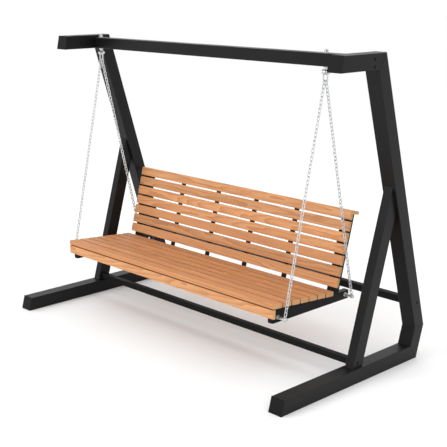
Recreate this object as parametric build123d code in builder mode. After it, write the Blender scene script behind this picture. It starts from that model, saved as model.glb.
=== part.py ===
"""Free-standing porch swing: steel stand, wooden bench hung on chains. Units mm, +Z up, front is -Y."""
from build123d import *
import os
from math import cos, radians, sin, tan

os.makedirs("parts", exist_ok=True)

# ---- stand: two side frames of rectangular tube ----
FRAME_HALF_WIDTH = 1179.0      # centre line to the outer face of a side frame
MEMBER_WIDTH = 90.0            # across the swing (X)
MEMBER_DEPTH = 84.0            # in the plane of the side frame
MEMBER_WALL = 3.0
MEMBER_RADIUS = 4.0            # rounded long corners
STRUT_WIDTH = 55.0
FOOT_FRONT_BOTTOM = -607.1
FOOT_FRONT_TOP = -584.1
FOOT_REAR = 555.0
KNEE = (611.0, 194.0)          # outer corner of the rear knee (Y, Z)
TOP_REAR = (130.0, 1768.0)     # upper rear corner of the side frame
ARM_FRONT_BOTTOM = -228.0
ARM_FRONT_TOP = -209.0
STRUT_FOOT_Y = -20.0           # front face of the strut where it stands on the foot
STRUT_LEAN = 16.1              # degrees from vertical
CAP_THICKNESS = 4.0

# ---- bars between the side frames ----
BEAM_SIZE = 68.0
BEAM_Y = 39.0
BEAM_Z = 1719.0
FRONT_BAR_SIZE = 37.0
FRONT_BAR_Y = 28.0
FRONT_BAR_Z = 108.0
REAR_BAR_SIZE = 42.0
REAR_BAR_Y = 537.0
REAR_BAR_Z = 341.5
BAR_WALL = 3.0
END_PLATE = 8.0
BOLT_RADIUS = 4.0
BOLT_HOLE_RADIUS = 4.25
BOLT_HEAD_RADIUS = 7.5
BOLT_HEAD = 4.0

# ---- hangers ----
BENCH_X = -104.0               # the bench hangs off centre, towards the left frame
CHAIN_HALF = 961.0             # bench centre to the plane of each pair of chains
PIVOT_Z = 1655.0               # centre of the hanger eye, the swing axis
EYE_RADIUS = 15.0
EYE_HOLE_RADIUS = 6.08
EYE_THICKNESS = 16.0
EYE_SHANK_RADIUS = 7.0
EYE_SHANK_HOLE_RADIUS = 7.3
EYE_SHANK_TOP = 1773.0
HANGER_NUT_FLATS = 22.0
TOP_NUT = 12.0
LOWER_NUT = 9.0
HANGER_WASHER = 3.0
HANGER_WASHER_RADIUS = 15.0
PIN_RADIUS = 6.0
PIN_HOLE_RADIUS = 6.08
SHACKLE_LEG_X = 14.0
SHACKLE_ROD_RADIUS = 4.0
SHACKLE_EAR_RADIUS = 12.0
SHACKLE_EAR = 9.0
SHACKLE_BOW_Z = 1607.0         # centre line of the bow rod
SHACKLE_CORNER = 5.0
PIN_HEAD_RADIUS = 9.0
PIN_HEAD = 4.0
PIN_NUT_FLATS = 17.0
PIN_NUT = 7.0

# ---- chains ----
LINK_WIRE_RADIUS = 2.5
LINK_INNER_HALF_WIDTH = 5.2
LINK_TARGET_PITCH = 21.0
LINK_SLACK = 0.3               # how much longer a link is inside than the pitch
CHAIN_STEP_X = 6.2             # the two chains sit side by side on the bow

# ---- bench frame ----
SLAT_HALF_LENGTH = 930.0
RAIL_OUTER = 910.0             # bench centre to the outer face of a side rail
RAIL_WIDTH = 36.0
RAIL_HEIGHT = 53.0
RAIL_BOTTOM = 320.0
RAIL_FRONT = -276.0
RAIL_REAR = 366.0
RAIL_WALL = 2.5
RAIL_CAP = 5.0
UPRIGHT_WIDTH = 60.0
UPRIGHT_DEPTH = 40.0
UPRIGHT_WALL = 2.0
CHAIN_BOLT_Z = 350.0
CHAIN_BOLT_FRONT_Y = -240.0
CHAIN_BOLT_REAR_Y = 338.0
CHAIN_BOLT_RADIUS = 4.5
CHAIN_BOLT_HOLE_RADIUS = 4.8
CHAIN_NUT_FLATS = 16.0
CHAIN_NUT = 8.0
CHAIN_WASHER = 2.0
CHAIN_WASHER_RADIUS = 12.0
SLEEVE_RADIUS = 9.0
LINK_GAP = 6.0                 # room for one link between two washers
CHAIN_BOLT_TAIL = 3.0
CHAIN_BOLT_HEAD = 6.0
SLAT_BAR_WIDTH = 35.0
SLAT_BAR_THICKNESS = 6.0
SLAT_BAR_X = (-508.5, -169.5, 169.5, 508.5)
FASCIA_TAB_BOTTOM = 362.0
CROSS_TUBE_DEPTH = 30.0
CROSS_TUBE_HEIGHT = 40.0
FRONT_TUBE_Y = -215.0
FRONT_TUBE_WALL = 5.2
REAR_TUBE_Y = 125.0
REAR_TUBE_WALL = 2.0

# ---- slats ----
SEAT_THICKNESS = 28.0
BACK_THICKNESS = 22.0
SLAT_RADIUS = 5.0
SEAT_FRONT = (-301.0, 441.0)   # top front corner of the seat (Y, Z)
SEAT_TILT = 4.4                # the seat falls towards the back
FRONT_SLAT_WIDTH = 76.0
SEAT_SLAT_WIDTH = 66.1
SEAT_SLATS = 7
SEAT_GAP = 6.5
FASCIA_BOTTOM = 354.0
FASCIA_TOP = 408.0
FASCIA_THICKNESS = 20.0
BACK_TOP = (345.0, 853.0)      # front face of the backrest near its top (Y, Z)
BACK_RECLINE = 15.0
BACK_SLATS = 7
BACK_PITCH = 66.6
BACK_SLAT_WIDTH = 55.8
BACK_FIRST = -4.0              # top edge of the first slat, measured down from BACK_TOP
CAP_SLAT_DEPTH = 50.0
CAP_SLAT_THICKNESS = 20.0
SCREW_RADIUS = 2.0
SCREW_HOLE_RADIUS = 2.1
SCREW_HEAD_RADIUS = 4.5
SCREW_HEAD = 2.5
SCREW_BITE = 15.0

SIDES = (("left", -1), ("right", 1))


def save(part, name):
    """Label a piece and write it to its own file."""
    part.label = name
    export_step(part, f"parts/{name}.step")


def meet(p, d, q, e):
    """Point where the line through p along d meets the line through q along e."""
    cross = d[0] * e[1] - d[1] * e[0]
    t = ((q[0] - p[0]) * e[1] - (q[1] - p[1]) * e[0]) / cross
    return (p[0] + t * d[0], p[1] + t * d[1])


def toward(p, q):
    """Direction from p to q."""
    return (q[0] - p[0], q[1] - p[1])


def moved(p, d, distance):
    """Point p shifted to the left of direction d by a distance."""
    length = (d[0] ** 2 + d[1] ** 2) ** 0.5
    return (p[0] - d[1] / length * distance, p[1] + d[0] / length * distance)


def cavity(outline, wall):
    """Inside of a tube drawn as a four-sided outline: long sides 0-1 and 2-3 move in, ends stay."""
    a, b, c, d = outline
    low = toward(a, b)
    high = toward(c, d)
    low_start = moved(a, low, wall)
    high_start = moved(c, high, wall)
    return [
        meet(low_start, low, a, toward(a, d)),
        meet(low_start, low, b, toward(b, c)),
        meet(high_start, high, c, toward(b, c)),
        meet(high_start, high, d, toward(a, d)),
    ]


def side_tube(outline, x_centre, width, wall, radius, holes=()):
    """Hollow tube whose side view is the outline; holes are (y, z, radius) across it."""
    with BuildPart() as tube:
        with BuildSketch(Plane.YZ.offset(x_centre - width / 2)):
            with BuildLine():
                Polyline(*outline, close=True)
            make_face()
        extrude(amount=width)
        fillet(tube.edges().sort_by(SortBy.LENGTH)[-4:], radius=radius)
        with BuildSketch(Plane.YZ.offset(x_centre - width / 2 + wall)):
            with BuildLine():
                Polyline(*cavity(outline, wall), close=True)
            make_face()
        extrude(amount=width - 2 * wall, mode=Mode.SUBTRACT)
        for y, z, hole_radius in holes:
            with BuildSketch(Plane.YZ.offset(x_centre - width)):
                with Locations((y, z)):
                    Circle(hole_radius)
            extrude(amount=2 * width, mode=Mode.SUBTRACT)
    return tube.part


# ---- side frames ----
knee_lean = toward((FOOT_REAR, 0), KNEE)
leg_rise = toward(KNEE, TOP_REAR)
lower_front = moved((FOOT_REAR, 0), knee_lean, MEMBER_DEPTH)
leg_front = moved(KNEE, leg_rise, MEMBER_DEPTH)
level = (1.0, 0.0)
foot_top = (0.0, MEMBER_DEPTH)
arm_bottom = (0.0, TOP_REAR[1] - MEMBER_DEPTH)
foot_inner = meet(foot_top, level, lower_front, knee_lean)
knee_inner = meet(lower_front, knee_lean, leg_front, leg_rise)
top_inner = meet(arm_bottom, level, leg_front, leg_rise)

foot_outline = [
    (FOOT_FRONT_BOTTOM, 0.0), (FOOT_REAR, 0.0), foot_inner, (FOOT_FRONT_TOP, MEMBER_DEPTH)]
lower_leg_outline = [(FOOT_REAR, 0.0), KNEE, knee_inner, foot_inner]
rear_leg_outline = [KNEE, TOP_REAR, top_inner, knee_inner]
arm_outline = [
    (ARM_FRONT_BOTTOM, arm_bottom[1]), top_inner, TOP_REAR, (ARM_FRONT_TOP, TOP_REAR[1])]
strut_rise = (sin(radians(STRUT_LEAN)), cos(radians(STRUT_LEAN)))
strut_front = (STRUT_FOOT_Y, MEMBER_DEPTH)
strut_back = (STRUT_FOOT_Y + MEMBER_DEPTH / cos(radians(STRUT_LEAN)), MEMBER_DEPTH)
strut_outline = [
    strut_back,
    meet(strut_back, strut_rise, leg_front, leg_rise),
    meet(strut_front, strut_rise, leg_front, leg_rise),
    strut_front,
]

beam_bolts = [(BEAM_Y, BEAM_Z - 20, BOLT_HOLE_RADIUS), (BEAM_Y, BEAM_Z + 20, BOLT_HOLE_RADIUS)]
front_bar_bolts = [(FRONT_BAR_Y, FRONT_BAR_Z, BOLT_HOLE_RADIUS)]
rear_bar_bolts = [(REAR_BAR_Y, REAR_BAR_Z, BOLT_HOLE_RADIUS)]
frame_centre = FRAME_HALF_WIDTH - MEMBER_WIDTH / 2

for side, sign in SIDES:
    x = sign * frame_centre
    save(side_tube(foot_outline, x, MEMBER_WIDTH, MEMBER_WALL, MEMBER_RADIUS), f"foot_{side}")
    save(side_tube(lower_leg_outline, x, MEMBER_WIDTH, MEMBER_WALL, MEMBER_RADIUS), f"lower_leg_{side}")
    save(side_tube(rear_leg_outline, x, MEMBER_WIDTH, MEMBER_WALL, MEMBER_RADIUS, rear_bar_bolts),
         f"rear_leg_{side}")
    save(side_tube(arm_outline, x, MEMBER_WIDTH, MEMBER_WALL, MEMBER_RADIUS, beam_bolts),
         f"top_arm_{side}")
    save(side_tube(strut_outline, x, STRUT_WIDTH, MEMBER_WALL, MEMBER_RADIUS, front_bar_bolts),
         f"front_strut_{side}")

# End caps close the slanted front ends of the feet and the arms.
cap_outlines = []
for low, high in (
        ((FOOT_FRONT_BOTTOM, 0.0), (FOOT_FRONT_TOP, MEMBER_DEPTH)),
        ((ARM_FRONT_BOTTOM, arm_bottom[1]), (ARM_FRONT_TOP, TOP_REAR[1]))):
    slope = toward(low, high)
    cap_outlines.append([low, high, moved(high, slope, CAP_THICKNESS), moved(low, slope, CAP_THICKNESS)])

with BuildPart() as frame_end_caps:
    for side, sign in SIDES:
        for outline in cap_outlines:
            with BuildSketch(Plane.YZ.offset(sign * frame_centre - MEMBER_WIDTH / 2)):
                with BuildLine():
                    Polyline(*outline, close=True)
                make_face()
            extrude(amount=MEMBER_WIDTH)
save(frame_end_caps.part, "frame_end_caps")


# ---- bars between the frames ----
def cross_bar(y, z, size_y, size_z, half_length, wall, x_centre=0.0, bolt_x=()):
    """Square or rectangular tube along X, open at both ends; hanger bolts pass down through bolt_x."""
    with BuildPart() as bar:
        with BuildSketch(Plane.YZ.offset(x_centre - half_length)):
            with Locations((y, z)):
                RectangleRounded(size_y, size_z, wall)
                Rectangle(size_y - 2 * wall, size_z - 2 * wall, mode=Mode.SUBTRACT)
        extrude(amount=2 * half_length)
        for x in bolt_x:
            with BuildSketch(Plane.XY.offset(z - size_z)):
                with Locations((x, y)):
                    Circle(EYE_SHANK_HOLE_RADIUS)
            extrude(amount=2 * size_z, mode=Mode.SUBTRACT)
    return bar.part


frame_inner = FRAME_HALF_WIDTH - MEMBER_WIDTH
strut_inner = frame_centre - STRUT_WIDTH / 2
strut_outer = frame_centre + STRUT_WIDTH / 2
hanger_x = [BENCH_X + sign * CHAIN_HALF for side, sign in SIDES]

save(cross_bar(BEAM_Y, BEAM_Z, BEAM_SIZE, BEAM_SIZE, frame_inner, BAR_WALL, bolt_x=hanger_x), "top_beam")
save(cross_bar(FRONT_BAR_Y, FRONT_BAR_Z, FRONT_BAR_SIZE, FRONT_BAR_SIZE, strut_inner, BAR_WALL),
     "front_cross_bar")
save(cross_bar(REAR_BAR_Y, REAR_BAR_Z, REAR_BAR_SIZE, REAR_BAR_SIZE, frame_inner, BAR_WALL),
     "rear_cross_bar")

joints_to_frame = (
    (BEAM_Y, BEAM_Z, BEAM_SIZE, frame_inner, FRAME_HALF_WIDTH, beam_bolts),
    (FRONT_BAR_Y, FRONT_BAR_Z, FRONT_BAR_SIZE, strut_inner, strut_outer, front_bar_bolts),
    (REAR_BAR_Y, REAR_BAR_Z, REAR_BAR_SIZE, frame_inner, FRAME_HALF_WIDTH, rear_bar_bolts),
)

with BuildPart() as bar_end_plates:
    for y, z, size, inner, outer, bolts in joints_to_frame:
        for side, sign in SIDES:
            start = inner - END_PLATE if sign > 0 else -inner
            with BuildSketch(Plane.YZ.offset(start)):
                with Locations((y, z)):
                    Rectangle(size - 2 * BAR_WALL - 0.2, size - 2 * BAR_WALL - 0.2)
                with Locations(*[(by, bz) for by, bz, hole in bolts]):
                    Circle(BOLT_HOLE_RADIUS, mode=Mode.SUBTRACT)
            extrude(amount=END_PLATE)
save(bar_end_plates.part, "bar_end_plates")

with BuildPart() as frame_bolts:
    for y, z, size, inner, outer, bolts in joints_to_frame:
        for side, sign in SIDES:
            with BuildSketch(Plane.YZ.offset(sign * outer)):
                with Locations(*[(by, bz) for by, bz, hole in bolts]):
                    Circle(BOLT_HEAD_RADIUS)
            extrude(amount=sign * BOLT_HEAD)
            with BuildSketch(Plane.YZ.offset(sign * outer)):
                with Locations(*[(by, bz) for by, bz, hole in bolts]):
                    Circle(BOLT_RADIUS)
            extrude(amount=-sign * (outer - inner + END_PLATE))
    fillet(frame_bolts.edges().filter_by(GeomType.CIRCLE).filter_by(
        lambda edge: abs(edge.radius - BOLT_HEAD_RADIUS) < 0.01).group_by(Axis.X)[0], radius=1.5)
    fillet(frame_bolts.edges().filter_by(GeomType.CIRCLE).filter_by(
        lambda edge: abs(edge.radius - BOLT_HEAD_RADIUS) < 0.01).group_by(Axis.X)[-1], radius=1.5)
save(frame_bolts.part, "frame_bolts")

# ---- hangers: eyebolt, nuts and washers on the beam; shackle and pin below ----
beam_bottom = BEAM_Z - BEAM_SIZE / 2
beam_top = BEAM_Z + BEAM_SIZE / 2
lower_nut_z = beam_bottom - HANGER_WASHER - LOWER_NUT

for (side, sign), x in zip(SIDES, hanger_x):
    with BuildPart() as eyebolt:
        with BuildSketch(Plane.XY.offset(PIVOT_Z)):
            with Locations((x, BEAM_Y)):
                Circle(EYE_SHANK_RADIUS)
        extrude(amount=EYE_SHANK_TOP - PIVOT_Z)
        with BuildSketch(Plane.YZ.offset(x - EYE_THICKNESS / 2)):
            with Locations((BEAM_Y, PIVOT_Z)):
                Circle(EYE_RADIUS)
        extrude(amount=EYE_THICKNESS)
        with BuildSketch(Plane.YZ.offset(x - EYE_THICKNESS)):
            with Locations((BEAM_Y, PIVOT_Z)):
                Circle(EYE_HOLE_RADIUS)
        extrude(amount=2 * EYE_THICKNESS, mode=Mode.SUBTRACT)
    save(eyebolt.part, f"hanger_eyebolt_{side}")

with BuildPart() as hanger_washers:
    for start in (beam_bottom - HANGER_WASHER, beam_top):
        with BuildSketch(Plane.XY.offset(start)):
            with Locations(*[(x, BEAM_Y) for x in hanger_x]):
                Circle(HANGER_WASHER_RADIUS)
                Circle(EYE_SHANK_HOLE_RADIUS, mode=Mode.SUBTRACT)
        extrude(amount=HANGER_WASHER)
save(hanger_washers.part, "hanger_washers")

with BuildPart() as hanger_nuts:
    for start, height in ((lower_nut_z, LOWER_NUT), (beam_top + HANGER_WASHER, TOP_NUT)):
        with BuildSketch(Plane.XY.offset(start)):
            with Locations(*[(x, BEAM_Y) for x in hanger_x]):
                RegularPolygon(HANGER_NUT_FLATS / 2, 6, major_radius=False)
                Circle(EYE_SHANK_RADIUS + 0.02, mode=Mode.SUBTRACT)
        extrude(amount=height)
save(hanger_nuts.part, "hanger_nuts")

# The rod of a shackle starts inside its ears, clear of the pin hole.
rod_top = PIVOT_Z - (PIN_HOLE_RADIUS + SHACKLE_EAR_RADIUS) / 2
for (side, sign), x in zip(SIDES, hanger_x):
    with BuildPart() as shackle:
        with BuildLine(Plane.XZ.offset(-BEAM_Y)) as bow:
            Polyline(
                (x - SHACKLE_LEG_X, rod_top),
                (x - SHACKLE_LEG_X, SHACKLE_BOW_Z),
                (x + SHACKLE_LEG_X, SHACKLE_BOW_Z),
                (x + SHACKLE_LEG_X, rod_top))
            fillet(bow.vertices().group_by(Axis.Z)[0], radius=SHACKLE_CORNER)
        with BuildSketch(Plane.XY.offset(rod_top)):
            with Locations((x - SHACKLE_LEG_X, BEAM_Y)):
                Circle(SHACKLE_ROD_RADIUS)
        sweep()
        for ear in (-SHACKLE_LEG_X, SHACKLE_LEG_X):
            with BuildSketch(Plane.YZ.offset(x + ear - SHACKLE_EAR / 2)):
                with Locations((BEAM_Y, PIVOT_Z)):
                    Circle(SHACKLE_EAR_RADIUS)
            extrude(amount=SHACKLE_EAR)
        with BuildSketch(Plane.YZ.offset(x - 2 * SHACKLE_LEG_X)):
            with Locations((BEAM_Y, PIVOT_Z)):
                Circle(PIN_HOLE_RADIUS)
        extrude(amount=4 * SHACKLE_LEG_X, mode=Mode.SUBTRACT)
    save(shackle.part, f"shackle_{side}")

ear_outer = SHACKLE_LEG_X + SHACKLE_EAR / 2
with BuildPart() as shackle_pins:
    for x in hanger_x:
        with BuildSketch(Plane.YZ.offset(x - ear_outer)):
            with Locations((BEAM_Y, PIVOT_Z)):
                Circle(PIN_RADIUS)
        extrude(amount=2 * ear_outer + PIN_NUT)
        with BuildSketch(Plane.YZ.offset(x - ear_outer - PIN_HEAD)):
            with Locations((BEAM_Y, PIVOT_Z)):
                Circle(PIN_HEAD_RADIUS)
        extrude(amount=PIN_HEAD)
save(shackle_pins.part, "shackle_pins")

with BuildPart() as shackle_nuts:
    for x in hanger_x:
        with BuildSketch(Plane.YZ.offset(x + ear_outer)):
            with Locations((BEAM_Y, PIVOT_Z)):
                RegularPolygon(PIN_NUT_FLATS / 2, 6, major_radius=False)
                Circle(PIN_RADIUS + 0.02, mode=Mode.SUBTRACT)
        extrude(amount=PIN_NUT)
save(shackle_nuts.part, "shackle_nuts")

# ---- chains: each runs straight from a shackle bow to a rail bolt ----
for (side, sign), x in zip(SIDES, hanger_x):
    for end, bolt_y, step in (
            ("front", CHAIN_BOLT_FRONT_Y, -CHAIN_STEP_X), ("rear", CHAIN_BOLT_REAR_Y, CHAIN_STEP_X)):
        top_hook = Vector(x + step, BEAM_Y, SHACKLE_BOW_Z)
        low_hook = Vector(x, bolt_y, CHAIN_BOLT_Z)
        run = (top_hook - low_hook).normalized()
        hooks = (top_hook - low_hook).length
        # The end links reach round the bow and the bolt, whose rods touch the inside of the link.
        reach = hooks + SHACKLE_ROD_RADIUS + CHAIN_BOLT_RADIUS
        count = 2 * round((reach / LINK_TARGET_PITCH - 1) / 2) + 1
        pitch = reach / count
        half_straight = (pitch + LINK_SLACK) / 2 - LINK_INNER_HALF_WIDTH
        ring = LINK_INNER_HALF_WIDTH + LINK_WIRE_RADIUS
        with BuildPart() as link:
            with BuildLine(Plane.YZ) as wire_path:
                Line((ring, -half_straight), (ring, half_straight))
                ThreePointArc((ring, half_straight), (0, half_straight + ring), (-ring, half_straight))
                Line((-ring, half_straight), (-ring, -half_straight))
                ThreePointArc((-ring, -half_straight), (0, -half_straight - ring), (ring, -half_straight))
            with BuildSketch(Plane.XY.offset(-half_straight)):
                with Locations((0, ring)):
                    Circle(LINK_WIRE_RADIUS)
            sweep()
        across = (Vector(1, 0, 0) - run * run.X).normalized()
        edgewise = run.cross(across)
        links = []
        for index in range(count):
            centre = low_hook + run * (pitch * (index + 0.5) - CHAIN_BOLT_RADIUS)
            facing = across if index % 2 == 0 else edgewise
            links.append(link.part.moved(Plane(origin=centre, x_dir=facing, z_dir=run).location))
        chain = Compound(children=links)
        save(chain, f"chain_{end}_{side}")

# ---- bench frame ----
rail_centre = RAIL_OUTER - RAIL_WIDTH / 2
rail_inner = RAIL_OUTER - RAIL_WIDTH
rail_top = RAIL_BOTTOM + RAIL_HEIGHT
upright_centre = RAIL_OUTER - UPRIGHT_WIDTH / 2
rail_outline = [
    (RAIL_FRONT, RAIL_BOTTOM), (RAIL_REAR, RAIL_BOTTOM), (RAIL_REAR, rail_top), (RAIL_FRONT, rail_top)]
rail_holes = [
    (CHAIN_BOLT_FRONT_Y, CHAIN_BOLT_Z, CHAIN_BOLT_HOLE_RADIUS),
    (CHAIN_BOLT_REAR_Y, CHAIN_BOLT_Z, CHAIN_BOLT_HOLE_RADIUS)]
seat_run = (cos(radians(SEAT_TILT)), -sin(radians(SEAT_TILT)))
seat_under = moved(SEAT_FRONT, seat_run, -SEAT_THICKNESS)
bar_under = moved(SEAT_FRONT, seat_run, -SEAT_THICKNESS - SLAT_BAR_THICKNESS)
back_down = (-sin(radians(BACK_RECLINE)), -cos(radians(BACK_RECLINE)))
back_rear = moved(BACK_TOP, back_down, BACK_THICKNESS)
bar_rear = moved(BACK_TOP, back_down, BACK_THICKNESS + SLAT_BAR_THICKNESS)
upright_rear = moved(BACK_TOP, back_down, BACK_THICKNESS + UPRIGHT_DEPTH)
cap_slat_under = BACK_FIRST + CAP_SLAT_THICKNESS
plumb = (0.0, 1.0)


def down_back(start, distance):
    """Point a distance down the backrest from start."""
    return (start[0] + back_down[0] * distance, start[1] + back_down[1] * distance)


upright_outline = [
    meet(upright_rear, back_down, (0.0, rail_top), level),
    down_back(upright_rear, cap_slat_under),
    down_back(back_rear, cap_slat_under),
    meet(back_rear, back_down, (0.0, rail_top), level),
]

for side, sign in SIDES:
    rail_x = BENCH_X + sign * rail_centre
    upright_x = BENCH_X + sign * upright_centre
    save(side_tube(rail_outline, rail_x, RAIL_WIDTH, RAIL_WALL, RAIL_WALL, rail_holes), f"seat_rail_{side}")
    save(side_tube(upright_outline, upright_x, UPRIGHT_WIDTH, UPRIGHT_WALL, UPRIGHT_WALL),
         f"back_upright_{side}")

# The bearers are wedges between the level rails and the tilted seat.
bearer_end = meet((0.0, rail_top + 1.0), level, seat_under, seat_run)
with BuildPart() as seat_bearers:
    for side, sign in SIDES:
        with BuildSketch(Plane.YZ.offset(BENCH_X + sign * rail_centre - RAIL_WIDTH / 2)):
            with BuildLine():
                Polyline(
                    (RAIL_FRONT, rail_top),
                    (bearer_end[0], rail_top),
                    bearer_end,
                    meet((RAIL_FRONT, 0.0), plumb, seat_under, seat_run),
                    close=True)
            make_face()
        extrude(amount=RAIL_WIDTH)
save(seat_bearers.part, "seat_bearers")

with BuildPart() as rail_end_caps:
    for side, sign in SIDES:
        for start in (RAIL_FRONT - RAIL_CAP, RAIL_REAR):
            with BuildSketch(Plane.XZ.offset(-start - RAIL_CAP)):
                with Locations((BENCH_X + sign * rail_centre, RAIL_BOTTOM + RAIL_HEIGHT / 2)):
                    RectangleRounded(RAIL_WIDTH, RAIL_HEIGHT, RAIL_CAP)
            extrude(amount=RAIL_CAP)
save(rail_end_caps.part, "rail_end_caps")

front_tube_top = meet((FRONT_TUBE_Y + CROSS_TUBE_DEPTH / 2, 0.0), plumb, bar_under, seat_run)[1]
rear_tube_top = meet((REAR_TUBE_Y + CROSS_TUBE_DEPTH / 2, 0.0), plumb, bar_under, seat_run)[1]
for name, y, top, wall in (
        ("seat_cross_tube_front", FRONT_TUBE_Y, front_tube_top, FRONT_TUBE_WALL),
        ("seat_cross_tube_rear", REAR_TUBE_Y, rear_tube_top, REAR_TUBE_WALL)):
    save(cross_bar(y, top - CROSS_TUBE_HEIGHT / 2, CROSS_TUBE_DEPTH, CROSS_TUBE_HEIGHT,
                   rail_inner, wall, BENCH_X), name)

# ---- slats and the bars that carry them ----
seat_starts = [0.0]
seat_widths = [FRONT_SLAT_WIDTH] + (SEAT_SLATS - 1) * [SEAT_SLAT_WIDTH]
for width in seat_widths[:-1]:
    seat_starts.append(seat_starts[-1] + width + SEAT_GAP)
fascia_front = SEAT_FRONT[0]
tab_front = fascia_front + FASCIA_THICKNESS

bar_outline = [
    (tab_front, FASCIA_TAB_BOTTOM),
    (tab_front + SLAT_BAR_THICKNESS, FASCIA_TAB_BOTTOM),
    meet((tab_front + SLAT_BAR_THICKNESS, 0.0), plumb, bar_under, seat_run),
    meet(bar_under, seat_run, bar_rear, back_down),
    down_back(bar_rear, cap_slat_under),
    down_back(back_rear, cap_slat_under),
    meet(seat_under, seat_run, back_rear, back_down),
    meet((tab_front, 0.0), plumb, seat_under, seat_run),
]

seat_plane = Plane(origin=(BENCH_X, SEAT_FRONT[0], SEAT_FRONT[1]), x_dir=(1, 0, 0),
                   z_dir=(0, sin(radians(SEAT_TILT)), cos(radians(SEAT_TILT))))
back_plane = Plane(origin=(BENCH_X, BACK_TOP[0], BACK_TOP[1]), x_dir=(1, 0, 0),
                   z_dir=(0, cos(radians(BACK_RECLINE)), -sin(radians(BACK_RECLINE))))
fascia_plane = Plane(origin=(BENCH_X, fascia_front, FASCIA_TOP), x_dir=(1, 0, 0), z_dir=(0, 1, 0))

# Local Y runs rearwards on the seat plane, and down the backrest and the fascia on the other two.
slat_specs = []
for index, (start, width) in enumerate(zip(seat_starts, seat_widths)):
    slat_specs.append((f"seat_slat_{index + 1}", seat_plane, -1, start, width, SEAT_THICKNESS))
for index in range(BACK_SLATS):
    start = BACK_FIRST + index * BACK_PITCH
    slat_specs.append((f"back_slat_{index + 1}", back_plane, 1, start, BACK_SLAT_WIDTH, BACK_THICKNESS))
slat_specs.append(("front_fascia", fascia_plane, 1, 0.0, FASCIA_TOP - FASCIA_BOTTOM, FASCIA_THICKNESS))

screw_seats = []
for name, plane, inward, start, width, thickness in slat_specs:
    middle = start + width / 2
    with BuildPart() as slat:
        with BuildSketch(plane):
            with Locations((0, middle)):
                Rectangle(2 * SLAT_HALF_LENGTH, width)
        extrude(amount=inward * thickness)
        fillet(slat.edges().sort_by(SortBy.LENGTH)[-4:], radius=SLAT_RADIUS)
        rear_face = plane.offset(inward * thickness)
        with BuildSketch(rear_face):
            with Locations(*[(bar_x, middle) for bar_x in SLAT_BAR_X]):
                Circle(SCREW_HOLE_RADIUS)
        extrude(amount=-inward * (SCREW_BITE + 1.0), mode=Mode.SUBTRACT)
    save(slat.part, name)
    screw_seats.append((rear_face, inward, middle))

with BuildPart() as slat_bars:
    for bar_x in SLAT_BAR_X:
        with BuildSketch(Plane.YZ.offset(BENCH_X + bar_x - SLAT_BAR_WIDTH / 2)):
            with BuildLine():
                Polyline(*bar_outline, close=True)
            make_face()
        extrude(amount=SLAT_BAR_WIDTH)
    for rear_face, inward, middle in screw_seats:
        with BuildSketch(rear_face):
            with Locations(*[(bar_x, middle) for bar_x in SLAT_BAR_X]):
                Circle(SCREW_HOLE_RADIUS)
        extrude(amount=inward * 2 * SLAT_BAR_THICKNESS, mode=Mode.SUBTRACT)
save(slat_bars.part, "slat_bars")

with BuildPart() as slat_screws:
    for rear_face, inward, middle in screw_seats:
        with BuildSketch(rear_face.offset(inward * SLAT_BAR_THICKNESS)):
            with Locations(*[(bar_x, middle) for bar_x in SLAT_BAR_X]):
                Circle(SCREW_HEAD_RADIUS)
        extrude(amount=inward * SCREW_HEAD)
        with BuildSketch(rear_face.offset(inward * SLAT_BAR_THICKNESS)):
            with Locations(*[(bar_x, middle) for bar_x in SLAT_BAR_X]):
                Circle(SCREW_RADIUS)
        extrude(amount=-inward * (SLAT_BAR_THICKNESS + SCREW_BITE))
save(slat_screws.part, "slat_screws")

with BuildPart() as back_cap_slat:
    with BuildSketch(back_plane.offset(BACK_THICKNESS)):
        with Locations((0, BACK_FIRST + CAP_SLAT_THICKNESS / 2)):
            Rectangle(2 * SLAT_HALF_LENGTH, CAP_SLAT_THICKNESS)
    extrude(amount=CAP_SLAT_DEPTH)
    fillet(back_cap_slat.edges().sort_by(SortBy.LENGTH)[-4:], radius=SLAT_RADIUS)
save(back_cap_slat.part, "back_cap_slat")

# ---- rail bolts that carry the chains, with their sleeves, washers and nuts ----
bolt_spots = [
    (sign, y) for side, sign in SIDES for y in (CHAIN_BOLT_FRONT_Y, CHAIN_BOLT_REAR_Y)]
inner_nut = RAIL_OUTER + CHAIN_WASHER
sleeve_start = inner_nut + CHAIN_NUT
inner_washer = CHAIN_HALF - LINK_GAP / 2 - CHAIN_WASHER
outer_washer = CHAIN_HALF + LINK_GAP / 2
outer_nut = outer_washer + CHAIN_WASHER
bolt_end = outer_nut + CHAIN_NUT + CHAIN_BOLT_TAIL


def bolt_ring(start, length, radius, flats=None):
    """Rings on the four rail bolts, from a start distance outwards; hexagonal when flats is given."""
    with BuildPart() as rings:
        for sign, y in bolt_spots:
            with BuildSketch(Plane.YZ.offset(BENCH_X + sign * start)):
                with Locations((y, CHAIN_BOLT_Z)):
                    if flats:
                        RegularPolygon(flats / 2, 6, major_radius=False)
                    else:
                        Circle(radius)
                    Circle(CHAIN_BOLT_RADIUS + 0.05, mode=Mode.SUBTRACT)
            extrude(amount=sign * length)
    return rings.part


rail_washers = Compound(children=[
    bolt_ring(RAIL_OUTER, CHAIN_WASHER, CHAIN_WASHER_RADIUS),
    bolt_ring(inner_washer, CHAIN_WASHER, CHAIN_WASHER_RADIUS),
    bolt_ring(outer_washer, CHAIN_WASHER, CHAIN_WASHER_RADIUS)])
save(rail_washers, "rail_washers")
rail_nuts = Compound(children=[
    bolt_ring(inner_nut, CHAIN_NUT, 0.0, CHAIN_NUT_FLATS),
    bolt_ring(outer_nut, CHAIN_NUT, 0.0, CHAIN_NUT_FLATS)])
save(rail_nuts, "rail_nuts")
save(bolt_ring(sleeve_start, inner_washer - sleeve_start, SLEEVE_RADIUS), "rail_sleeves")

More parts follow.
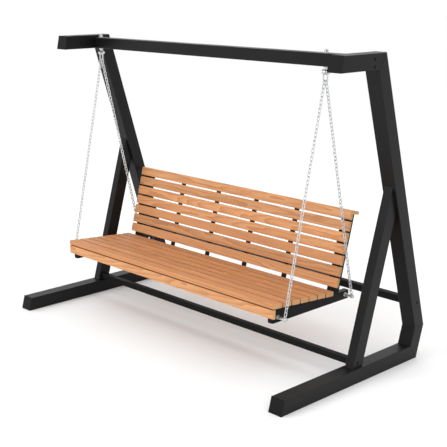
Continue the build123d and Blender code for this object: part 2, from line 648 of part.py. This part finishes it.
with BuildPart() as rail_bolts:
    for sign, y in bolt_spots:
        with BuildSketch(Plane.YZ.offset(BENCH_X + sign * rail_inner)):
            with Locations((y, CHAIN_BOLT_Z)):
                Circle(CHAIN_BOLT_RADIUS)
        extrude(amount=sign * (bolt_end - rail_inner))
        with BuildSketch(Plane.YZ.offset(BENCH_X + sign * rail_inner)):
            with Locations((y, CHAIN_BOLT_Z)):
                RegularPolygon(CHAIN_NUT_FLATS / 2, 6, major_radius=False)
        extrude(amount=-sign * CHAIN_BOLT_HEAD)
save(rail_bolts.part, "rail_bolts")
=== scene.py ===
"""Looks of the porch swing: materials, weld beads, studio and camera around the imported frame. Metres."""

import math
import random

import bpy
import numpy as np
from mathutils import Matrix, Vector


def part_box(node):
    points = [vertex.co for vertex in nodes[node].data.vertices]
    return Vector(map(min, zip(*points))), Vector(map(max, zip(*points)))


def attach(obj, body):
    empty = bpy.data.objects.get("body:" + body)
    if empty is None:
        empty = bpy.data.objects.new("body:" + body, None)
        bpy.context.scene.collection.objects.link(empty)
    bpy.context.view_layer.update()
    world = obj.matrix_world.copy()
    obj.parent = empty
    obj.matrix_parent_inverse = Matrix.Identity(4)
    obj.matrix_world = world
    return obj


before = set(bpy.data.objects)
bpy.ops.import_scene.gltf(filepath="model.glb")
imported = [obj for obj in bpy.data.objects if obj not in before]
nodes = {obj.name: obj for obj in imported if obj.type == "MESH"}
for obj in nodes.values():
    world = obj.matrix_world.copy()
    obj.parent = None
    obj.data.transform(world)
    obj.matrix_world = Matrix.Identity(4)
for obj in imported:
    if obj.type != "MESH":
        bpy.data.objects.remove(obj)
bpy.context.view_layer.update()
scene = bpy.context.scene

# ---- driving values ----
CAMERA_PLACE = (4.164, -3.931, 2.124)
CAMERA_AZIMUTH = 46.06          # degrees round from the front, towards the right
CAMERA_ELEVATION = 16.70
CAMERA_LENS = 77.8              # mm
CAMERA_SHIFT = (0.0126, 0.0999)
SENSOR_WIDTH = 36.0

SEAT_TILT = math.radians(4.4)
BACK_RECLINE = math.radians(15.0)
SEAT_UP = (0.0, math.sin(SEAT_TILT), math.cos(SEAT_TILT))
SEAT_DOWN = (0.0, -SEAT_UP[1], -SEAT_UP[2])
SEAT_FRONT = (0.0, -SEAT_UP[2], SEAT_UP[1])
SEAT_REAR = (0.0, SEAT_UP[2], -SEAT_UP[1])
BACK_OUT = (0.0, -math.cos(BACK_RECLINE), math.sin(BACK_RECLINE))
FASCIA_OUT = (0.0, -1.0, 0.0)
SIDEWAYS = (1.0, 0.0, 0.0)
UP = (0.0, 0.0, 1.0)

BEAD_RADIUS = 0.0012
BEAD_STEP = 0.0030
BEAD_VALLEY = 0.8               # radius of a ripple's valley, as a share of its crest

DUST = (0.030, 0.029, 0.028, 1.0)
# Painted shade for the seams between close boards, standing in for their shadow.
SEAM_PAINTED_SHADE = (0.17, 0.072, 0.028, 1.0)
ZINC_DARK = (0.52, 0.54, 0.55)
ZINC_LIGHT = (0.80, 0.82, 0.83)
ZINC_OXIDE = (0.44, 0.45, 0.45)
FLOOR_DARK = (0.93, 0.93, 0.93, 1.0)
FLOOR_LIGHT = (0.95, 0.95, 0.95, 1.0)
WORLD_STRENGTH = 1.06

SIDES = ("left", "right")


class Graph:
    """One material's node tree, with short calls for the nodes that the materials share."""

    def __init__(self, name):
        self.material = bpy.data.materials.new(name)
        self.material.use_nodes = True
        self.tree = self.material.node_tree
        self.shader = self.tree.nodes["Principled BSDF"]
        self.coordinates = self.tree.nodes.new("ShaderNodeTexCoord")

    def add(self, kind, inputs, **settings):
        """A node with its settings; an input is a value or another node's socket."""
        node = self.tree.nodes.new(kind)
        for key, value in settings.items():
            setattr(node, key, value)
        for key, value in inputs.items():
            if isinstance(value, bpy.types.NodeSocket):
                self.tree.links.new(value, node.inputs[key])
            else:
                node.inputs[key].default_value = value
        return node

    def place(self, scale=(1, 1, 1), turn=(0, 0, 0), origin=(0, 0, 0)):
        """Object coordinates measured from an origin, turned and scaled."""
        moved = self.add("ShaderNodeVectorMath", {0: self.coordinates.outputs["Object"], 1: origin},
                         operation="SUBTRACT")
        mapped = self.add("ShaderNodeMapping", {"Vector": moved.outputs[0], "Rotation": turn, "Scale": scale})
        return mapped.outputs[0]

    def noise(self, vector, scale, detail=2.0, roughness=0.5, colour=False):
        node = self.add("ShaderNodeTexNoise", {
            "Vector": vector, "Scale": scale, "Detail": detail, "Roughness": roughness})
        return node.outputs["Color" if colour else "Fac"]

    def math(self, operation, first, second=0.0):
        return self.add("ShaderNodeMath", {0: first, 1: second}, operation=operation).outputs[0]

    def span(self, value, from_low, from_high, to_low, to_high):
        """Value carried from one range to another and held at its ends."""
        node = self.add("ShaderNodeMapRange", {
            "Value": value, "From Min": from_low, "From Max": from_high, "To Min": to_low, "To Max": to_high})
        return node.outputs[0]

    def mix(self, share, first, second, blend="MIX"):
        node = self.add("ShaderNodeMix", {0: share, 6: first, 7: second}, data_type="RGBA", blend_type=blend)
        return node.outputs[2]

    def ramp(self, value, stops):
        node = self.add("ShaderNodeValToRGB", {0: value})
        elements = node.color_ramp.elements
        while len(elements) < len(stops):
            elements.new(0.5)
        for element, (position, colour) in zip(elements, stops):
            element.position = position
            element.color = (*colour, 1.0)
        return node.outputs[0]

    def toward(self, direction):
        """How squarely the surface faces along a direction, from -1 to 1."""
        dot = self.add("ShaderNodeVectorMath", {0: self.coordinates.outputs["Normal"], 1: direction},
                       operation="DOT_PRODUCT")
        return dot.outputs["Value"]

    def facing(self, direction):
        """How squarely the surface faces along a direction or against it, from 0 to 1."""
        return self.math("ABSOLUTE", self.toward(direction))

    def rounding(self, direction):
        """1 on rounded edges beside the faces that look along a direction, 0 on flat faces."""
        face = self.facing(direction)
        away = self.math("SUBTRACT", 1.0, face)
        return self.span(self.math("MULTIPLY", face, away), 0.08, 0.24, 0.0, 1.0)

    def bump(self, height, strength, distance, under=None):
        inputs = {"Height": height, "Strength": strength, "Distance": distance}
        if under is not None:
            inputs["Normal"] = under
        return self.add("ShaderNodeBump", inputs).outputs[0]

    def finish(self, colour, roughness, normal):
        for name, socket in (("Base Color", colour), ("Roughness", roughness), ("Normal", normal)):
            self.tree.links.new(socket, self.shader.inputs[name])
        return self.material


def grey(level):
    return (level, level, level * 1.03, 1.0)


def powder_coat(name, edge_direction, tone=0.0062, rough=0.33, gloss=0.16, dusty=1.0):
    """Satin black powder coat: orange peel, cloudy gloss, rubbed edges and a little dust on top.

    The rubbed edges are those beside the faces that look along edge_direction."""
    g = Graph(name)
    here = g.place()
    cloud = g.noise(here, 5.0, 4.0, 0.6)
    rub = g.noise(here, 38.0, 5.0, 0.65)
    peel = g.noise(here, 520.0, 2.0)
    grit = g.noise(here, 2600.0, 1.0)
    base = g.mix(cloud, grey(tone * 0.8), grey(tone * 1.25))
    worn = g.math("MULTIPLY", g.rounding(edge_direction), g.span(rub, 0.42, 0.68, 0.15, 0.8))
    base = g.mix(worn, base, grey(tone * 3.0))
    up = g.add("ShaderNodeSeparateXYZ", {0: g.coordinates.outputs["Normal"]}).outputs[2]
    dust = g.math("MULTIPLY", g.span(up, 0.6, 1.0, 0.0, dusty), g.span(rub, 0.45, 0.8, 0.05, 0.35))
    base = g.mix(dust, base, DUST)
    roughness = g.span(cloud, 0.3, 0.7, rough - 0.05, rough + 0.07)
    roughness = g.math("ADD", roughness, g.span(dust, 0.0, 0.35, 0.0, 0.15))
    roughness = g.math("SUBTRACT", roughness, g.span(worn, 0.0, 0.8, 0.0, 0.08))
    normal = g.bump(grit, 0.12, 0.0002, g.bump(peel, 0.22, 0.0006))
    g.shader.inputs["Specular IOR Level"].default_value = gloss
    return g.finish(base, roughness, normal)


def moulded_plastic(name):
    """Matt black plastic with a fine eroded texture and faint scuffs."""
    g = Graph(name)
    here = g.place()
    grain = g.noise(here, 1500.0, 3.0)
    scuff = g.noise(g.place(scale=(1, 9, 1)), 60.0, 5.0, 0.7)
    base = g.mix(g.span(scuff, 0.5, 0.75, 0.0, 1.0), grey(0.0045), grey(0.0100))
    roughness = g.span(scuff, 0.35, 0.75, 0.5, 0.68)
    g.shader.inputs["Specular IOR Level"].default_value = 0.14
    return g.finish(base, roughness, g.bump(grain, 0.3, 0.0003))


def galvanised(name, spangle, brightness):
    """Zinc coat: crystal spangle, soft streaks of dull oxide and fine pits."""
    g = Graph(name)
    g.shader.inputs["Metallic"].default_value = 0.9
    here = g.place()
    cells = g.add("ShaderNodeTexVoronoi", {"Vector": here, "Scale": spangle}).outputs["Color"]
    tone = g.add("ShaderNodeSeparateColor", {0: cells}).outputs[0]
    oxide = g.noise(here, 70.0, 5.0, 0.6)
    pits = g.noise(here, 1800.0, 2.0)
    dark, light, dull = (
        [min(1.0, c * brightness) for c in zinc] for zinc in (ZINC_DARK, ZINC_LIGHT, ZINC_OXIDE))
    base = g.mix(tone, (*dark, 1.0), (*light, 1.0))
    base = g.mix(g.span(oxide, 0.5, 0.75, 0.0, 0.5), base, (*dull, 1.0))
    roughness = g.math("ADD", g.span(oxide, 0.35, 0.75, 0.24, 0.48), g.math("MULTIPLY", tone, 0.06))
    return g.finish(base, roughness, g.bump(pits, 0.15, 0.0002))


def slat_wood(node, seed, face, beside, early, late, end_tone):
    """Oiled board sawn lengthways from one log, with growth rings about a pith of its own below the face.

    beside holds the directions in which another board lies close by; the sides that look that way get painted
    shade."""
    draw = random.Random(seed)
    low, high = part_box(node)
    centre = (low + high) / 2
    pith = (centre.x + draw.uniform(-0.7, 0.7),
            centre.y - face[1] * draw.uniform(0.03, 0.09) + draw.uniform(-0.06, 0.06),
            centre.z - face[2] * draw.uniform(0.03, 0.09) + draw.uniform(-0.03, 0.03))
    tilt = (0.0, math.radians(draw.uniform(-1.3, 1.3)), math.radians(draw.uniform(-1.3, 1.3)))
    tone = draw.uniform(0.90, 1.10)
    warmth = draw.uniform(-0.025, 0.025)
    ring_width = draw.uniform(0.0045, 0.0075)

    g = Graph(f"wood_{node}")
    along = g.place(turn=tilt, origin=pith)
    drift = g.noise(g.place(scale=(1.6, 9.0, 9.0), origin=pith), 1.0, 3.0, 0.5, colour=True)
    drift = g.add("ShaderNodeVectorMath", {0: drift, 1: (0.5, 0.5, 0.5)}, operation="SUBTRACT").outputs[0]
    bent = g.add("ShaderNodeVectorMath", {0: drift, 1: (0.0, 0.030, 0.030), 2: along},
                 operation="MULTIPLY_ADD")
    rings = g.add("ShaderNodeTexWave", {
        "Vector": bent.outputs[0], "Scale": 2 * math.pi / (20 * ring_width), "Distortion": 0.6, "Detail": 2.0,
        "Detail Scale": 1.5}, wave_type="RINGS", rings_direction="X", wave_profile="SAW").outputs["Fac"]
    fibre = g.noise(g.place(scale=(7.0, 330.0, 330.0), origin=pith), 1.0, 4.0, 0.6)
    pores = g.noise(g.place(scale=(42.0, 1500.0, 1500.0), origin=pith), 1.0, 2.0)
    stain = g.noise(g.place(scale=(2.2, 12.0, 12.0), origin=pith), 1.0, 3.0)

    colours = [
        [c * tone * (1 + sign * warmth) for c, sign in zip(wood, (1, 0, -1))] for wood in (early, late)]
    mid = [(a * 0.55 + b * 0.45) for a, b in zip(*colours)]
    base = g.ramp(rings, [(0.0, colours[0]), (0.55, mid), (0.9, colours[1]), (1.0, colours[0])])
    fibre_tint = g.ramp(fibre, [(0.25, (0.84, 0.82, 0.79)), (0.75, (1.08, 1.08, 1.08))])
    base = g.mix(1.0, base, fibre_tint, "MULTIPLY")
    stain_tint = g.ramp(stain, [(0.3, (0.93, 0.91, 0.88)), (0.7, (1.05, 1.05, 1.05))])
    base = g.mix(1.0, base, stain_tint, "MULTIPLY")
    pore_mask = g.span(pores, 0.60, 0.72, 0.0, 0.42)
    base = g.mix(pore_mask, base, (colours[1][0] * 0.45, colours[1][1] * 0.4, colours[1][2] * 0.35, 1.0))

    # The sawn ends are open grain: paler and duller. Rounded long edges are rubbed a little paler too, but
    # the sides that look towards a close neighbour get painted shade, a darkening that stands in for the
    # shadow in the seams.
    end = g.span(g.facing(SIDEWAYS), 0.75, 0.9, 0.0, 0.75)
    end_ring = (end_tone[0] * 0.86, end_tone[1] * 0.8, end_tone[2] * 0.72, 1.0)
    end_grain = g.mix(rings, (*end_tone, 1.0), end_ring)
    edge = g.math("MULTIPLY", g.rounding(face), g.span(stain, 0.35, 0.65, 0.05, 0.3))
    base = g.mix(edge, base, (*end_tone, 1.0))
    # Painted shade: the sides that face a close board are darkened to a deep brown, standing in for the
    # shadow in the gap.
    for direction in beside:
        seam_shade = g.span(g.toward(direction), 0.3, 0.8, 0.0, 0.7)
        base = g.mix(seam_shade, base, SEAM_PAINTED_SHADE)
    base = g.mix(end, base, end_grain)

    roughness = g.span(fibre, 0.3, 0.7, 0.5, 0.62)
    roughness = g.math("ADD", roughness, g.math("MULTIPLY", end, 0.2))
    height = g.math("SUBTRACT", g.math("MULTIPLY", fibre, 0.5), pore_mask)
    normal = g.bump(height, 0.35, 0.0005, g.bump(rings, 0.08, 0.0004))
    g.shader.inputs["Specular IOR Level"].default_value = 0.35
    return g.finish(base, roughness, normal)


def dress(names, material):
    """Give CAD nodes one material."""
    for name in names:
        slots = nodes[name].data.materials
        slots.clear()
        slots.append(material)


def soften(names, width, segments=2):
    """Break the sharp edges of CAD nodes by a small width."""
    for name in names:
        bevel = nodes[name].modifiers.new("edge", "BEVEL")
        bevel.width = width
        bevel.segments = segments
        bevel.limit_method = "ANGLE"
        bevel.angle_limit = math.radians(40)
        bevel.harden_normals = False


# ---- CAD pieces ----
wood_faces = {f"seat_slat_{i}": SEAT_UP for i in range(1, 8)}
wood_faces.update({f"back_slat_{i}": BACK_OUT for i in range(1, 8)})
wood_faces["front_fascia"] = FASCIA_OUT
wood_faces["back_cap_slat"] = BACK_OUT

# Directions of close neighbouring boards; slat_wood gives the sides that face them painted shade.
close_boards = {f"seat_slat_{i}": [SEAT_FRONT, SEAT_REAR] for i in range(2, 7)}
close_boards.update(seat_slat_1=[SEAT_REAR, SEAT_DOWN], seat_slat_7=[SEAT_FRONT], front_fascia=[UP])

EARLY_WOOD = (0.70, 0.345, 0.150)
LATE_WOOD = (0.50, 0.215, 0.085)
END_WOOD = (0.70, 0.40, 0.19)
SEAT_SHADE = (0.93, 0.86, 0.82)     # the seat is a little darker and redder than the back
for seed, (name, face) in enumerate(wood_faces.items(), start=11):
    shade = SEAT_SHADE if name.startswith("seat") else (1.0, 1.0, 1.0)
    early, late = ([c * s for c, s in zip(wood, shade)] for wood in (EARLY_WOOD, LATE_WOOD))
    beside = close_boards.get(name, [])
    dress([name], slat_wood(name, seed, face, beside, early, late, END_WOOD))

side_members = [f"{part}_{side}" for part in ("foot", "lower_leg", "rear_leg", "top_arm", "front_strut")
                for side in SIDES]
low_bars = ["front_cross_bar", "rear_cross_bar", "bar_end_plates"]
bench_frame = [f"{part}_{side}" for part in ("seat_rail", "back_upright") for side in SIDES]
bench_inner = ["seat_bearers", "seat_cross_tube_front", "seat_cross_tube_rear", "slat_bars"]
caps = ["frame_end_caps", "rail_end_caps"]
hangers = [f"{part}_{side}" for part in ("hanger_eyebolt", "shackle") for side in SIDES]
hangers += ["hanger_washers", "hanger_nuts", "shackle_pins", "shackle_nuts"]
rail_hardware = ["rail_bolts", "rail_nuts", "rail_washers", "rail_sleeves"]
chains = [f"chain_{end}_{side}" for end in ("front", "rear") for side in SIDES]

coat = powder_coat("powder_coat_side_frame", SIDEWAYS)
dress(side_members, coat)
dress(["top_beam"], powder_coat("powder_coat_beam", UP))
dress(low_bars, powder_coat("powder_coat_low_bars", UP, tone=0.0120, rough=0.48, gloss=0.05, dusty=0.2))
dress(bench_frame + bench_inner, powder_coat("powder_coat_bench", SIDEWAYS, tone=0.005, rough=0.38))
dress(["frame_bolts"], powder_coat("black_bolt_heads", SIDEWAYS, rough=0.30))
dress(caps, moulded_plastic("moulded_cap"))
dress(hangers + ["slat_screws"], galvanised("zinc_hanger", spangle=240.0, brightness=0.95))
dress(rail_hardware, galvanised("zinc_rail_bolt", spangle=240.0, brightness=1.2))
dress(chains, galvanised("zinc_chain", spangle=330.0, brightness=1.0))

soften(caps, 0.0012)
soften(["hanger_washers", "hanger_nuts", "shackle_nuts", "rail_nuts", "rail_washers", "shackle_pins"], 0.0006)
soften(["slat_bars", "seat_bearers"], 0.0008, segments=1)


# ---- weld beads where the tubes of a side frame meet ----
def outline(points):
    """Convex outline, in order, of points that lie in one plane."""
    spots = np.array(points)
    centre = spots.mean(0)
    across = np.linalg.svd(spots - centre)[2][:2]
    flat = sorted({tuple(np.round(p, 5)) for p in (spots - centre) @ across.T})

    def half(path):
        chain = []
        for p in path:
            while len(chain) > 1 and ((chain[-1][0] - chain[-2][0]) * (p[1] - chain[-2][1])
                                      <= (chain[-1][1] - chain[-2][1]) * (p[0] - chain[-2][0])):
                chain.pop()
            chain.append(p)
        return chain[:-1]

    return [Vector(centre + np.array(p) @ across) for p in half(flat) + half(flat[::-1])]


def corners(name):
    return [v.co.copy() for v in nodes[name].data.vertices]


def shared(first, second):
    """Vertices that two mitred tubes have in common."""
    others = {tuple(round(c, 4) for c in v) for v in corners(second)}
    return [v for v in corners(first) if tuple(round(c, 4) for c in v) in others]


def bead(name, loop):
    """A rippled weld bead round a closed outline."""
    points = []
    for start, end in zip(loop, loop[1:] + loop[:1]):
        steps = max(1, round((end - start).length / BEAD_STEP))
        points += [start.lerp(end, i / steps) for i in range(steps)]
    curve = bpy.data.curves.new(name, "CURVE")
    curve.dimensions = "3D"
    curve.bevel_depth = BEAD_RADIUS
    curve.bevel_resolution = 2
    spline = curve.splines.new("POLY")
    spline.points.add(len(points) - 1)
    spline.use_cyclic_u = True
    for index, (spot, place) in enumerate(zip(spline.points, points)):
        spot.co = (*place, 1.0)
        spot.radius = 1.0 if index % 2 else BEAD_VALLEY
    source = bpy.data.objects.new(name, curve)
    scene.collection.objects.link(source)
    mesh = bpy.data.meshes.new_from_object(source.evaluated_get(bpy.context.evaluated_depsgraph_get()))
    bpy.data.objects.remove(source)
    mesh.materials.clear()
    mesh.materials.append(coat)
    mesh.polygons.foreach_set("use_smooth", [True] * len(mesh.polygons))
    welded = bpy.data.objects.new(name, mesh)
    scene.collection.objects.link(welded)
    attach(welded, "stand")


for side in SIDES:
    foot_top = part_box(f"foot_{side}")[1].z
    strut = corners(f"front_strut_{side}")
    strut_middle = (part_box(f"front_strut_{side}")[0].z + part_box(f"front_strut_{side}")[1].z) / 2
    joints = {
        "knee_low": shared(f"foot_{side}", f"lower_leg_{side}"),
        "knee_high": shared(f"lower_leg_{side}", f"rear_leg_{side}"),
        "shoulder": shared(f"rear_leg_{side}", f"top_arm_{side}"),
        "strut_foot": [v for v in strut if v.z < foot_top + 0.001],
        "strut_leg": [v for v in strut if v.z > strut_middle],
    }
    for place, points in joints.items():
        bead(f"weld_{place}_{side}", outline(points))


# ---- studio ----
def floor_material():
    g = Graph("studio_floor")
    tone = g.noise(g.place(), 0.6, 2.0)
    base = g.mix(tone, FLOOR_DARK, FLOOR_LIGHT)
    grain = g.noise(g.place(), 400.0, 2.0)
    return g.finish(base, g.span(tone, 0.3, 0.7, 0.78, 0.86), g.bump(grain, 0.03, 0.0003))


bpy.ops.mesh.primitive_circle_add(vertices=96, radius=60.0, fill_type="NGON", location=(0, 0, 0))
floor = bpy.context.object
floor.name = "studio_floor"
floor.data.materials.append(floor_material())

world = bpy.data.worlds.new("studio")
scene.world = world
world.use_nodes = True
world.node_tree.nodes["Background"].inputs["Color"].default_value = (1.0, 1.0, 1.0, 1.0)
world.node_tree.nodes["Background"].inputs["Strength"].default_value = WORLD_STRENGTH


def soft_light(name, place, target, size, power):
    light = bpy.data.lights.new(name, "AREA")
    light.shape = "RECTANGLE"
    light.size, light.size_y = size
    light.energy = power
    lamp = bpy.data.objects.new(name, light)
    lamp.location = place
    lamp.rotation_euler = (Vector(target) - Vector(place)).to_track_quat("-Z", "Y").to_euler()
    scene.collection.objects.link(lamp)


soft_light("key", (-1.5, -5.0, 4.5), (0, 0, 0.7), (4.0, 3.0), 110)
soft_light("fill", (5.5, -1.0, 3.5), (0, 0, 0.8), (3.0, 3.0), 30)
soft_light("rim", (1.0, 5.0, 4.5), (0, 0, 0.9), (4.0, 2.5), 40)

scene.view_settings.view_transform = "Standard"

# ---- camera ----
lens = bpy.data.cameras.new("camera")
lens.sensor_width = SENSOR_WIDTH
lens.lens = CAMERA_LENS
lens.shift_x, lens.shift_y = CAMERA_SHIFT
camera = bpy.data.objects.new("camera", lens)
camera.location = CAMERA_PLACE
camera.rotation_euler = (math.radians(90 - CAMERA_ELEVATION), 0.0, math.radians(CAMERA_AZIMUTH))
scene.collection.objects.link(camera)
scene.camera = camera
